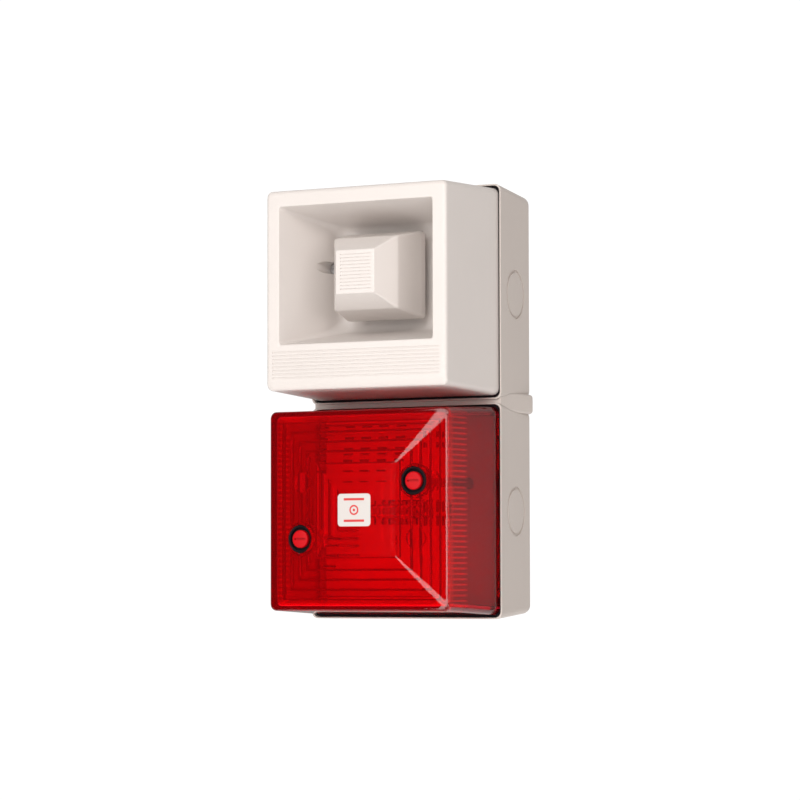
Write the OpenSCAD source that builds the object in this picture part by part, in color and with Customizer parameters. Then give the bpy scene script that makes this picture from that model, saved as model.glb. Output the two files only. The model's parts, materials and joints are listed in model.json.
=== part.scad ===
// Combined wall sounder and beacon: two square back boxes stacked on a wall,
// an upper horn sounder head and a lower beacon lens. Lengths are millimetres.
// The wall is the plane Y = 0, +Y points into it, +Z is up, and the origin is
// at the middle of the collar that joins the two boxes.
// Modules draw in a face frame (x right, y up, z out of the wall), and stand()
// turns that frame onto the wall. "out" below is the distance from the wall.

/* [Casing] */
// Width of the boxes at their front rims
rim_w = 95; // [93:0.5:97]
// Height of the two boxes together
unit_h = 190; // [188:0.5:192]
// Distance from the wall to the box rims
rim_out = 37; // [36.5:0.25:38]
// Width of the boxes at the wall
rear_w = 88; // [87:0.5:90]
// Gap between the two rims
rim_gap = 1.5; // [1:0.25:2]
// Wall thickness of the boxes
wall = 2.4; // [2:0.1:2.6]
// Width of the joining collar
collar_w = 93; // [92:0.25:94]
// Thickness of the collar band along the height
collar_band = 8.6; // [7:0.2:10]

/* [Sounder] */
// Distance from the wall to the front of the sounder
horn_out = 82.7; // [82:0.1:84]
// Width of the horn mouth
mouth_w = 75.6; // [72:0.2:77]
// Height of the horn axis above the collar
horn_up = 54.8; // [54:0.2:55.4]
// Width of the square front face of the bell
bell_face = 18.8; // [16:0.2:20]
// Radius of the driver's magnet
magnet_r = 20; // [18:0.5:20.5]
// Number of decorative grooves below the mouth
rail_grooves = 8; // [4:1:8]

/* [Beacon] */
// Distance from the wall to the flat square on the lens
lens_out = 83.3; // [82.5:0.1:84]
// Width of the flat square on the lens
lens_flat = 40; // [36:1:42]
// Outer radius of the glass flash tube
tube_r = 3; // [2.5:0.1:3]
// Distance from the wall to the top of the flash tube
tube_top = 61; // [56:0.5:66]

/* [Fasteners] */
// Sideways distance of the captive screws from the middle
screw_x = 27.7; // [27.3:0.1:28]
// Upward distance of the captive screws from the middle of their box
screw_up = 12.2; // [11.8:0.1:12.6]
// Radial play of turning screws in their holes
play = 0.08; // [0.05:0.01:0.1]
// Radius of the four holes for the wall screws
wall_hole_r = 2.4; // [2:0.1:2.6]
// Radius of the cable entry and of the scored knock-outs
entry_r = 10.25; // [10:0.05:10.3]

/* [Hidden] */
$fn = 48;

shell_white = [0.93, 0.9, 0.86];
lens_red = [0.85, 0.05, 0.06];
board_green = [0.1, 0.35, 0.2];
dark = [0.12, 0.12, 0.13];
steel = [0.72, 0.73, 0.75];
copper = [0.75, 0.45, 0.25];

slack = 0.1;                                // air between pieces that only touch
box_mid = unit_h / 4 + rim_gap / 4;         // middle height of the upper box
rear_trim = (rim_w - rear_w) / 2;           // how far a side leans in at the wall
end_trim = 0.63 * rear_trim;                // how far an end leans in at the wall
edge_r = 3;                                 // rounding of the rear edges
ledge_out = rim_out - 2.4;                  // ledge that carries the gasket
skirt_out = ledge_out + 1;                  // rear edge of the sounder and lens
lip = 0.7;                                  // width of the bright lip of a rim
skirt_half = rim_w / 2 - 1.5;               // half width of a head at its skirt
skirt_half_up = unit_h / 4 - 2.15;          // half height of a head at its skirt
head_draft = 1.75;                          // how far a head narrows at its front
post_top = 12;                              // top of the screw posts in a box
board_out = 8;                              // rear face of the boards in the boxes
board_t = 1.6;
board_low = 7.7;                            // edge of the boards beside the collar
board_front = board_out + board_t;
coupling_out = 17;                          // axis of the bush between the boxes
link_out = 13.5;                            // axis of the link wires
screw_r = 1.9;                              // shank of the captive screws
insert_r = 2.7;                             // outside of the brass inserts
horn_back = 47;                             // front face of the horn's back wall
seat_out = 44.5;                            // rear face of the horn's back wall
head_board_out = 17;                        // rear face of the sounder's board
cover_rear = 22.9;                          // rear face of the driver cover
pitch_way = 5.08;                           // spacing of the terminal ways
screw_spots = [[-screw_x, box_mid + screw_up], [screw_x, box_mid - screw_up]];
blind_spots = [[screw_x, box_mid + screw_up], [-screw_x, box_mid - screw_up]];
near_bosses = [[-30.5, 10.5], [30.5, 10.5], [-30.5, 26.5], [30.5, 26.5]];
far_bosses = [[-35.5, 66], [35.5, 66]];
wall_spots = [[-27.5, 75], [27.5, 75]];
head_posts = [[-28.5, 26.5], [28.5, 26.5], [-28.5, 79.5], [28.5, 79.5]];
joining_x = 32;
label_size = [16, 14];

// ---------- helpers ----------

module stand() { rotate([90, 0, 0]) children(); }

module mirrored_up() { mirror([0, 1, 0]) children(); }

module at(spots) { for (s = spots) translate([s[0], s[1], 0]) children(); }

// One rounded rectangle of a loft: s = [out, half width, low, high, corner radius].
function ring(s, steps) = [for (c = [0 : 3], i = [0 : steps])
    let (a = 90 * (c + i / steps), sx = (c == 0 || c == 3) ? 1 : -1)
    [sx * (s[1] - s[4]) + s[4] * cos(a),
     (c < 2 ? s[3] - s[4] : s[2] + s[4]) + s[4] * sin(a), s[0]]];

// Closed solid through a list of rounded rectangles, from the wall outwards.
module loft(sections, steps = 3) {
    n = 4 * (steps + 1);
    last = n * (len(sections) - 1);
    sides = [for (k = [0 : len(sections) - 2], i = [0 : n - 1])
        let (a = k * n, j = (i + 1) % n)
        each [[a + i, a + n + i, a + n + j], [a + i, a + n + j, a + j]]];
    polyhedron(
        points = [for (s = sections) each ring(s, steps)],
        faces = concat([[for (i = [0 : n - 1]) i]], sides,
            [[for (i = [n - 1 : -1 : 0]) last + i]]));
}

// Section of a loft that is centred at a height.
function centred(out, half_w, half_up, up, r) =
    [out, half_w, up - half_up, up + half_up, r];

module tube(r_out, r_in, low, high) {
    translate([0, 0, low]) difference() {
        cylinder(r = r_out, h = high - low);
        translate([0, 0, -1]) cylinder(r = r_in, h = high - low + 2);
    }
}

module rod(r, low, high) { translate([0, 0, low]) cylinder(r = r, h = high - low); }

// Rod along the height, at a sideways place and a distance from the wall.
module up_rod(x, out, r, low, high) {
    translate([x, low, out]) rotate([-90, 0, 0]) cylinder(r = r, h = high - low);
}

module plate(half_w, low, high, out, thick) {
    translate([-half_w, low, out]) cube([2 * half_w, high - low, thick]);
}

// ---------- back boxes ----------

function box_half(out) = rear_w / 2 + rear_trim * out / rim_out;
function box_low(out) = rim_gap / 2 + rear_trim / 2 * (1 - out / rim_out);
function box_high(out) = unit_h / 2 - end_trim * (1 - out / rim_out);
function box_section(out, inset, r) =
    [out, box_half(out) - inset, box_low(out) + inset, box_high(out) - inset, r];

module box_outer(grow = 0) {
    loft(concat(
        [for (a = [90 : -30 : 0]) box_section(edge_r * (1 - sin(a)),
            edge_r * (1 - cos(a)) - grow, edge_r + 0.4)],
        [box_section(rim_out, -grow, edge_r)]));
}

module box_cavity() {
    loft([box_section(wall, wall + 1, 2.5), box_section(wall + 1.5, wall, 3),
          box_section(ledge_out + 1, wall + 0.8, 3)]);
    loft([box_section(ledge_out, lip, edge_r), box_section(rim_out + 1, lip, edge_r)]);
}

module knock_out() { tube(entry_r + 0.4, entry_r - 0.4, -0.6, 3); }

module box_knock_outs() {
    for (side = [-1, 1])
        translate([side * box_half(19), box_mid, 19])
            rotate([0, side * (90 + atan(rear_trim / rim_out)), 0]) knock_out();
    translate([0, box_high(19), 19]) rotate([-90 - atan(end_trim / rim_out), 0, 0]) knock_out();
}

module back_box(open_entry) {
    difference() {
        union() {
            difference() { box_outer(); box_cavity(); }
            at(concat(screw_spots, blind_spots)) rod(4.4, wall - 1, post_top);
            at(concat(near_bosses, far_bosses)) rod(3.2, wall - 1, board_out - slack);
            at(wall_spots) rod(5.2, wall - 1, wall + 2);
        }
        at(screw_spots) rod(insert_r + 0.02, 4, post_top + 1);
        at(concat(near_bosses, far_bosses)) rod(1.55, 3.4, board_out + 1);
        at(wall_spots) rod(wall_hole_r, -1, wall + 3);
        box_knock_outs();
        up_rod(0, coupling_out, 10, -1, 8);
        for (x = [-joining_x, joining_x]) up_rod(x, coupling_out, 2.15, -1, 8);
        if (open_entry) translate([0, 75, -1]) cylinder(r = entry_r, h = wall + 2);
        else translate([0, 75, 0]) mirror([0, 0, 1]) knock_out();
    }
}

module upper_back_box() { color(shell_white) stand() back_box(false); }

module lower_back_box() { color(shell_white) stand() mirrored_up() back_box(true); }

// ---------- joint between the boxes ----------

module joining_collar() {
    rear_r = 4.5;
    color(shell_white) stand() difference() {
        translate([0, collar_band / 2, 0]) rotate([90, 0, 0])
            linear_extrude(collar_band) union() {
                for (side = [-1, 1])
                    translate([side * (collar_w / 2 - rear_r), rear_r]) circle(rear_r);
                translate([rear_r - collar_w / 2, 0])
                    square([collar_w - 2 * rear_r, rear_r + 1]);
                translate([-collar_w / 2, rear_r])
                    square([collar_w, rim_out - 1.5 - rear_r]);
            }
        box_outer(slack);
        mirrored_up() box_outer(slack);
        up_rod(0, coupling_out, 10, -6, 6);
        for (x = [-joining_x, joining_x]) up_rod(x, coupling_out, 2.15, -6, 6);
    }
}

module coupling_bush() {
    color(dark) stand() difference() {
        union() {
            up_rod(0, coupling_out, 9.6, -7.2, 7.6);
            up_rod(0, coupling_out, 12, -7.2, -5);
        }
        up_rod(0, coupling_out, 7.4, -8, 9);
    }
}

module coupling_locknut() {
    color(dark) stand() difference() {
        translate([0, 5, coupling_out]) rotate([-90, 0, 0])
            cylinder(r = 13, h = 2.4, $fn = 6);
        up_rod(0, coupling_out, 9.7, 4, 8);
    }
}

module joining_screws() {
    color(steel) stand() for (x = [-joining_x, joining_x]) difference() {
        union() {
            up_rod(x, coupling_out, 2, -7, 8.8);
            up_rod(x, coupling_out, 3.6, -7.4, -5);
        }
        translate([x - 5, -8, coupling_out - 0.5]) cube([10, 1.4, 1]);
    }
}

module joining_nuts() {
    color(steel) stand() for (x = [-joining_x, joining_x]) difference() {
        translate([x, 5, coupling_out]) rotate([-90, 0, 0])
            cylinder(r = 4, h = 3.2, $fn = 6);
        up_rod(x, coupling_out, 2.05, 4, 9);
    }
}

module box_inserts() {
    color("goldenrod") stand() for (flip = [0, 1]) mirror([0, flip, 0])
        at(screw_spots) tube(insert_r, screw_r + play, 4.05, post_top);
}

// ---------- boards and wiring in the boxes ----------

module terminal_board() {
    color(board_green) stand() difference() {
        plate(34, board_low, 30.5, board_out, board_t);
        at(near_bosses) rod(1.7, 0, 20);
    }
}

module beacon_board() {
    color(board_green) stand() mirrored_up() difference() {
        plate(39, board_low, 70, board_out, board_t);
        at(concat(near_bosses, far_bosses)) rod(1.7, 0, 20);
        at(concat(screw_spots, blind_spots)) rod(4.9, 0, 20);
    }
}

module board_screw(low, seat) {
    difference() {
        union() {
            rod(1.5, low, seat + 0.2);
            rod(2.8, seat, seat + 1.8);
        }
        translate([-3, -0.4, seat + 1]) cube([6, 0.8, 1]);
    }
}

module board_screws() {
    color(steel) stand() {
        at(near_bosses) board_screw(3.6, board_front);
        mirrored_up() at(concat(near_bosses, far_bosses)) board_screw(3.6, board_front);
    }
}

way_x = [for (i = [-2.5 : 1 : 2.5]) i * pitch_way];
block_low = 8.5;
block_high = 18.5;
block_top = 20;

module terminal_blocks() {
    color([0.15, 0.45, 0.3]) stand() for (flip = [0, 1]) mirror([0, flip, 0])
        difference() {
            plate(3 * pitch_way, block_low, block_high, board_front, block_top - board_front);
            for (x = way_x) {
                up_rod(x, link_out, 1.5, block_low - 1, block_high - 3);
                translate([x, 14, 15.2]) cylinder(r = 2, h = 6);
            }
        }
}

module terminal_screws() {
    color(steel) stand() for (flip = [0, 1]) mirror([0, flip, 0]) for (x = way_x)
        translate([x, 14, 15.2]) difference() {
            cylinder(r = 1.9, h = 3.6);
            translate([-2, -0.35, 2.8]) cube([4, 0.7, 1]);
        }
}

module link_wires() {
    color("firebrick") stand() for (x = [-0.5, 0.5] * pitch_way)
        up_rod(x, link_out, 1.1, -block_low - 3, block_low + 3);
}

pin_x = [for (i = [-1.5 : 1 : 1.5]) i * 2.54];
pin_up = 27;

module head_socket() {
    color(dark) stand() difference() {
        plate(5.6, pin_up - 1.7, pin_up + 1.7, board_front, 5.4);
        at([for (x = pin_x) [x, pin_up]]) rod(0.62, board_front + 0.6, 20);
    }
}

// ---------- beacon inside ----------

tube_up = box_mid;
leg_x = 8;

module tube_holder() {
    color([0.9, 0.9, 0.88]) stand() mirrored_up() difference() {
        plate(13, tube_up - 5, tube_up + 5, board_front, 13);
        at([[-leg_x, tube_up], [leg_x, tube_up]]) rod(3.1, board_front + 1, 30);
    }
}

module flash_tube() {
    bend_out = tube_top - leg_x - tube_r;
    color([0.85, 0.93, 0.98, 0.6]) stand() mirrored_up() {
        at([[-leg_x, tube_up], [leg_x, tube_up]])
            tube(tube_r, tube_r - 0.8, board_front + 6, bend_out);
        translate([0, tube_up, bend_out]) rotate([90, 0, 0])
            rotate_extrude(angle = 180) translate([leg_x, 0]) difference() {
                circle(tube_r);
                circle(tube_r - 0.8);
            }
    }
}

module tube_caps() {
    color(steel) stand() mirrored_up()
        at([[-leg_x, tube_up], [leg_x, tube_up]]) rod(2.6, board_front + 1.1, board_front + 5.9);
}

module energy_capacitor() {
    color([0.1, 0.15, 0.35]) stand() mirrored_up()
        translate([-15, 61.5, board_front + 6.9]) rotate([0, 90, 0]) difference() {
            cylinder(r = 6.8, h = 30);
            translate([0, 0, 26]) tube(8, 6.3, 0, 1);
        }
}

module trigger_transformer() {
    color([0.75, 0.65, 0.2]) stand() mirrored_up() translate([0, 33, 0]) {
        plate(6, -4.5, 4.5, board_front, 3);
        rod(3.6, board_front + 2.9, board_front + 10);
        rod(5.2, board_front + 9.9, board_front + 12);
    }
}

module beacon_components() {
    color(dark) stand() mirrored_up() {
        translate([-17, 27, 0]) tube(5, 2, board_front, board_front + 7);
        translate([18, 27, 0]) rod(4, board_front, board_front + 11);
        translate([21, 46, 0]) plate(2.4, -4, 4, board_front, 2);
        translate([-21, 46, 0]) plate(2.4, -4, 4, board_front, 2);
    }
}

reflector_out = 31;

module reflector() {
    color("white") stand() mirrored_up() {
        difference() {
            loft([centred(reflector_out, 42, 42, box_mid, 4),
                  centred(reflector_out + 1.6, 42, 42, box_mid, 4)]);
            translate([0, tube_up, 0]) plate(13.4, -5.4, 5.4, 0, 50);
            at(screw_spots) rod(screw_r + 0.7, 0, 50);
        }
        at([[-36, 22], [36, 22], [-36, 58], [36, 58]])
            rod(2, board_front + slack, reflector_out + 0.5);
    }
}

// ---------- sounder head ----------

head_mid = box_mid + 0.3;                   // middle height of the head's front
mouth_low = 24.4;
mouth_high = 84.8;
throat_r = 6.5;
well_r = 2.9;                               // wells of the sounder's screws
well_floor = 46.5;
screw_head_r = 2.6;                         // heads of the sounder's screws

function horn_section(out, half_w, inset, grow) =
    [out, half_w + grow, mouth_low + inset - grow, mouth_high - inset + grow, 1.2 + grow];

// The horn's inside, from its back wall to its mouth, and the same made thicker.
module horn_inside(grow, low, high) {
    m = mouth_w / 2;
    loft([horn_section(low, m - 16.4, 11.8, grow), horn_section(horn_back + 2.5, m - 13, 8.4, grow),
          horn_section(horn_back + 6, m - 11, 6.4, grow), horn_section(57, m - 9.8, 5.2, grow),
          horn_section(high, m, 0, grow)]);
}

module sounder_shell() {
    half = skirt_half - head_draft;
    half_up = skirt_half_up - head_draft;
    difference() {
        loft([centred(skirt_out, skirt_half, skirt_half_up, box_mid, 3),
              centred(horn_out - 1.2, half + 0.05, half_up, head_mid, 2.5),
              centred(horn_out, half - 0.9, half_up - 0.9, head_mid, 2)]);
        loft([centred(skirt_out - 1, skirt_half - 2.2, skirt_half_up - 2.2, box_mid, 2),
              centred(horn_out - 2.4, half - 2.2, half_up - 2.2, head_mid, 2)]);
    }
}

module rail_cuts() {
    for (i = [0 : rail_grooves - 1])
        plate(41, mouth_low - 3.7 - 1.6 * i, mouth_low - 2.9 - 1.6 * i, horn_out - 0.7, 2);
}

module sounder_housing() {
    color(shell_white) stand() difference() {
        union() {
            sounder_shell();
            intersection() {
                horn_inside(2.2, seat_out, horn_out);
                plate(60, 0, 95, seat_out, horn_out - seat_out);
            }
            at(head_posts) rod(3, head_board_out + board_t + slack, 62);
            at(screw_spots) rod(4.8, seat_out, 60.5);
        }
        difference() {
            horn_inside(0, horn_back, horn_out + 0.5);
            translate([0, horn_up, 0]) tube(throat_r + 2, throat_r, seat_out, 66);
        }
        at(screw_spots) rod(well_r, well_floor, 70);
        at(screw_spots) rod(screw_r + play, seat_out - 1, well_floor + 1);
        at(head_posts) rod(1.25, 10, 30);
        translate([0, horn_up, 0]) {
            rod(throat_r, seat_out - 1, 67);
            rod(15.5, seat_out - 1, seat_out + 0.7);
            on_driver_bolts() rod(0.85, 44, 46.4);
        }
        rail_cuts();
    }
}

bell_rear = 53.3;
bell_front = horn_out - 0.1;

module horn_bell() {
    h = bell_face / 2;
    color(shell_white) stand() translate([0, horn_up, 0]) {
        difference() {
            loft([centred(bell_rear, h + 9.6, h + 9.6, 0, 0.6),
                  centred(bell_rear + 3.2, h + 9.6, h + 9.6, 0, 0.6),
                  centred(72.5, h + 6.4, h + 6.4, 0, 0.6),
                  centred(bell_front, h, h, 0, 0.6)], 1);
            loft([centred(bell_rear - 1, h + 8, h + 8, 0, 0.6),
                  centred(bell_rear + 3.2, h + 8, h + 8, 0, 0.6),
                  centred(72, h + 4.8, h + 4.8, 0, 0.6),
                  centred(bell_front - 2, h - 1.4, h - 1.4, 0, 0.6)], 1);
            for (i = [-4 : 4]) plate(h - 1, 1.7 * i - 0.35, 1.7 * i + 0.35, bell_front - 0.5, 2);
        }
        for (sx = [-1, 1], su = [-1, 1])
            translate([sx * (h + 5), su * (h + 5), 0]) rod(1.4, horn_back, 69);
    }
}

// Frame of rubber between a head and the ledge of its box, with a raised edge that
// fills the groove round the head's skirt.
module gasket() {
    outer = [skirt_half + 0.42, skirt_half_up + 0.8];
    flange = ledge_out + 0.15;
    bead = rim_out - 0.8;
    color(dark) stand() difference() {
        loft([centred(flange, outer[0], outer[1], box_mid, 3),
              centred(bead, outer[0] + 0.1, outer[1] + 0.1, box_mid, 3)]);
        loft([centred(flange - 1, skirt_half - 1.7, skirt_half_up - 1.7, box_mid, 2),
              centred(bead + 1, skirt_half - 1.7, skirt_half_up - 1.7, box_mid, 2)]);
        loft([centred(skirt_out - 0.02, skirt_half + 0.03, skirt_half_up + 0.03, box_mid, 3),
              centred(bead + 1, skirt_half + 0.03, skirt_half_up + 0.03, box_mid, 3)]);
    }
}

module sounder_gasket() { gasket(); }

// ---------- driver of the sounder ----------

module on_axis() { stand() translate([0, horn_up, 0]) children(); }

// Places its children at the four bolts that hold the driver to the horn.
module on_driver_bolts() {
    for (a = [45 : 90 : 315]) rotate(a) translate([24.6, 0, 0]) children();
}

ear_rear = 41.5;                            // rear face of the driver cover's ears
coil_r = 10;
gap_in = 9.5;                               // radius of the yoke's pole
plate_rear = 36.3;
magnet_rear = 28.2;
yoke_rear = 24.6;
plate_front = 39.3;

module diaphragm() {
    color([0.75, 0.7, 0.6]) on_axis() rotate_extrude() difference() {
        union() {
            intersection() {
                translate([0, 27.1]) circle(17);
                translate([0, 41.2]) square([9.8, 5]);
            }
            translate([9, 41.1]) square([6, 0.5]);
            translate([12, 41.3]) circle(0.9, $fn = 24);
        }
        translate([0, 26.6]) circle(17);
        translate([-30, 0]) square([30, 80]);
    }
}

module voice_coil() { color(copper) on_axis() tube(coil_r + 0.5, coil_r - 0.1, 35.8, 41.08); }

module clamp_ring() {
    color(dark) on_axis() difference() {
        tube(19.6, 16, plate_front + slack, seat_out - slack);
        rod(15.6, 38, 39);
    }
}

module top_plate() {
    color(steel) on_axis() tube(magnet_r, coil_r + 0.9, plate_rear, plate_front);
}

module magnet() { color([0.25, 0.24, 0.25]) on_axis() tube(magnet_r, 13.5, magnet_rear, plate_rear); }

module yoke() {
    color(steel) on_axis() {
        rod(magnet_r, yoke_rear, magnet_rear);
        rod(gap_in, yoke_rear, plate_front);
    }
}

module driver_cover() {
    color(dark) on_axis() difference() {
        union() {
            rod(magnet_r + 2.2, cover_rear, seat_out - slack);
            on_driver_bolts() {
                rod(2.8, ear_rear, seat_out - slack);
                translate([-4, -2.8, ear_rear]) cube([4, 5.6, seat_out - slack - ear_rear]);
            }
        }
        rod(magnet_r + 0.4, cover_rear + 1.5, seat_out + 1);
        on_driver_bolts() rod(0.95, 40, 46);
    }
}

module driver_screws() {
    color(steel) on_axis() on_driver_bolts() {
        rod(0.8, ear_rear - 0.5, 46.2);
        rod(1.7, ear_rear - 1.4, ear_rear - 0.02);
    }
}

// ---------- electronics of the sounder head ----------

module sounder_board() {
    color(board_green) stand() difference() {
        plate(32, 23, 83, head_board_out, board_t);
        at(head_posts) rod(1.6, 0, 40);
        at(screw_spots) rod(3.2, 0, 40);
    }
}

module sounder_board_screws() {
    color(steel) stand() at(head_posts) difference() {
        union() {
            rod(1.2, head_board_out - 0.2, 26);
            rod(2.5, head_board_out - 1.8, head_board_out);
        }
        translate([-3, -0.35, head_board_out - 2]) cube([6, 0.7, 0.8]);
    }
}

module sounder_components() {
    front = head_board_out + board_t;
    color([0.2, 0.2, 0.22]) stand() {
        plate(10, 23.8, 31, front, 11);
        translate([20, 44, 0]) plate(3, -5, 5, front, 2.2);
        translate([-20, 40, 0]) plate(2.5, -2.5, 2.5, front, 2);
        translate([-15, 79, 0]) rod(2.4, front, front + 9);
    }
}

module head_plug() {
    color(dark) stand() {
        plate(5.6, pin_up - 1.4, pin_up + 1.4, head_board_out - 1.6, 1.6);
        color("goldenrod") at([for (x = pin_x) [x, pin_up]])
            rod(0.5, board_front + 1.4, head_board_out - 1.5);
    }
}

switch_spot = [-10, 70];
slider_pitch = 2.54;

module tone_switch() {
    color([0.75, 0.1, 0.1]) stand() translate([switch_spot[0], switch_spot[1], 0]) difference() {
        plate(7, -3.6, 3.6, 12.8, head_board_out - 12.8);
        for (i = [-2 : 2]) translate([i * slider_pitch, 0, 0]) plate(0.8, -2, 2, 12, 2.2);
    }
}

// Slider i of the tone switch, off at rest, pushed down the slot to switch on.
module tone_slider(i) {
    color("white") stand()
        translate([switch_spot[0] + (i - 3) * slider_pitch, switch_spot[1] + 1, 0])
            plate(0.6, -0.7, 0.7, 11.9, 2);
}

module tone_slider_1() { tone_slider(1); }
module tone_slider_2() { tone_slider(2); }
module tone_slider_3() { tone_slider(3); }
module tone_slider_4() { tone_slider(4); }
module tone_slider_5() { tone_slider(5); }

trimmer_spot = [12, 70];

module volume_trimmer() {
    color([0.15, 0.3, 0.6]) stand() translate([trimmer_spot[0], trimmer_spot[1], 0]) difference() {
        plate(3.4, -3.4, 3.4, 13, head_board_out - 13);
        rod(2.3, 12, 14.6);
    }
}

module trimmer_rotor() {
    color("white") stand() translate([trimmer_spot[0], trimmer_spot[1], 0]) difference() {
        rod(2.3 - play, 12.4, 14.5);
        translate([-0.3, -3, 12]) cube([0.6, 4, 1]);
    }
}

// ---------- captive screws ----------

module captive_screw(head_r, seat, head_h) {
    difference() {
        union() {
            rod(screw_r, 5, seat + 0.2);
            rod(head_r, seat, seat + head_h);
        }
        translate([-head_r - 1, -0.5, seat + head_h - 0.9]) cube([2 * head_r + 2, 1, 2]);
    }
}

module sounder_screw(spot) {
    color(steel) stand() at([spot]) captive_screw(screw_head_r, well_floor + 0.8, 3);
}

module sounder_screw_left() { sounder_screw(screw_spots[0]); }
module sounder_screw_right() { sounder_screw(screw_spots[1]); }

module sounder_screw_seals() {
    color(dark) stand() at(screw_spots) tube(2.7, screw_r + play, well_floor, well_floor + 0.75);
}

module sounder_retainers() {
    color("white") stand() at(screw_spots) tube(3.8, screw_r + play, seat_out - 1.2, seat_out - slack);
}

lens_seat = 78.2;                           // floor of the wells in the lens
lens_seal_t = 1.5;
lens_head_r = 3.9;                          // heads of the lens's screws
lens_post_rear = 70;                        // rear ends of the tubes round the lens screws

module lens_screw(spot) {
    color(lens_red) stand() mirrored_up() at([spot])
        captive_screw(lens_head_r, lens_seat + lens_seal_t + 0.05, 2.2);
}

module lens_screw_upper() { lens_screw(screw_spots[1]); }
module lens_screw_lower() { lens_screw(screw_spots[0]); }

// Rubber cups that line the wells of the lens's screws.
module lens_screw_seals() {
    color(dark) stand() mirrored_up() at(screw_spots) difference() {
        rod(6.1, lens_seat, lens_seat + 3.2);
        rod(5.1, lens_seat + lens_seal_t, lens_seat + 4);
        rod(screw_r + play, lens_seat - 1, lens_seat + 4);
    }
}

module lens_retainers() {
    color("white") stand() mirrored_up() at(screw_spots)
        tube(5, screw_r + play, lens_post_rear - 1.2, lens_post_rear - slack);
}

// ---------- lens ----------

lens_rim_out = 79.7;                        // where the raised pyramid begins

module beacon_lens() {
    front = skirt_half - 2.1;
    front_up = skirt_half_up - 2.1;
    color(lens_red, 0.75) stand() mirrored_up() difference() {
        union() {
            difference() {
                loft([centred(skirt_out, skirt_half - 0.2, skirt_half_up, box_mid, 3),
                      centred(lens_rim_out - 1.4, front, front_up, box_mid, 2.6),
                      centred(lens_rim_out, front - 1.4, front_up - 1.4, box_mid, 2),
                      centred(lens_out, lens_flat / 2, lens_flat / 2, box_mid, 0.4)]);
                loft([centred(skirt_out - 1, skirt_half - 2.7, skirt_half_up - 2.5, box_mid, 2),
                      centred(lens_rim_out - 2.8, front - 2.4, front_up - 2.4, box_mid, 1.6),
                      centred(lens_out - 2.8, lens_flat / 2, lens_flat / 2, box_mid, 0.4)]);
            }
            at(blind_spots) rod(4.3, lens_rim_out - 2.6, lens_rim_out);
            at(screw_spots) rod(6, lens_post_rear, lens_rim_out - 1);
            at(screw_spots) rod(7.4, lens_seat - 2.2, lens_rim_out);
        }
        at(screw_spots) rod(6.2, lens_seat, lens_out + 1);
        at(screw_spots) rod(screw_r + play, 0, lens_out);
        at(screw_spots) rod(4.25, 0, lens_seat - 2.4);
    }
}

module lens_gasket() { mirror([0, 0, 1]) gasket(); }

module lens_label() {
    half = label_size / 2;
    color("white") stand() mirrored_up()
        loft([centred(lens_out + 0.02, half[0], half[1], box_mid, 1.4),
              centred(lens_out + 0.27, half[0], half[1], box_mid, 1.4)]);
}

upper_back_box();
lower_back_box();
joining_collar();
coupling_bush();
coupling_locknut();
joining_screws();
joining_nuts();
box_inserts();
terminal_board();
beacon_board();
board_screws();
terminal_blocks();
terminal_screws();
link_wires();
head_socket();
tube_holder();
flash_tube();
tube_caps();
energy_capacitor();
trigger_transformer();
beacon_components();
reflector();
sounder_housing();
horn_bell();
sounder_gasket();
diaphragm();
voice_coil();
clamp_ring();
top_plate();
magnet();
yoke();
driver_cover();
driver_screws();
sounder_board();
sounder_board_screws();
sounder_components();
head_plug();
tone_switch();
tone_slider_1();
tone_slider_2();
tone_slider_3();
tone_slider_4();
tone_slider_5();
volume_trimmer();
trimmer_rotor();
sounder_screw_left();
sounder_screw_right();
sounder_screw_seals();
sounder_retainers();
beacon_lens();
lens_gasket();
lens_label();
lens_screw_upper();
lens_screw_lower();
lens_screw_seals();
lens_retainers();
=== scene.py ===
"""Looks of the wall sounder and beacon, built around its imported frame."""

import json
import math

import bmesh
import bpy
from mathutils import Matrix, Vector


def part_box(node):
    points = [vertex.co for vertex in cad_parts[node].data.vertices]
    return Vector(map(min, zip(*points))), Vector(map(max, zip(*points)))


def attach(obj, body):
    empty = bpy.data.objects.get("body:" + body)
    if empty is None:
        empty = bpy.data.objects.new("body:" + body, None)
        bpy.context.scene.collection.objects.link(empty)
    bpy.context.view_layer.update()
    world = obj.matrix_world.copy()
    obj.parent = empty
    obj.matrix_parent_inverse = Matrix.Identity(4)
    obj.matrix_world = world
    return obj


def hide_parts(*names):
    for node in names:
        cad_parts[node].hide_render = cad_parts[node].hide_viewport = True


MM = 0.001

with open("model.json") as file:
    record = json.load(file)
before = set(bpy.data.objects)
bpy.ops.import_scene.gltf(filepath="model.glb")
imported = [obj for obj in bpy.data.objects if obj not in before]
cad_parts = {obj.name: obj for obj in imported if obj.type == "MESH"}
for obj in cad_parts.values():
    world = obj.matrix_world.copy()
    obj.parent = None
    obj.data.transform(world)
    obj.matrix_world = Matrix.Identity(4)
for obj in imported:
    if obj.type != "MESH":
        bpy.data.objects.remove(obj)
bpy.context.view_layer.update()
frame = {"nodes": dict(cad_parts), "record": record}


# ---------- measures taken from the frame, in millimetres ----------
# x runs to the right, up along the height and out is the distance from the wall.

def span(node):
    """Limits of a node: half width, low and high, rear and front distance from the wall."""
    low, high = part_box(node)
    return {"left": low.x / MM, "right": high.x / MM, "half": high.x / MM, "low": low.z / MM,
            "high": high.z / MM, "rear": -high.y / MM, "front": -low.y / MM,
            "x": (low.x + high.x) / 2 / MM, "up": (low.z + high.z) / 2 / MM}


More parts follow.
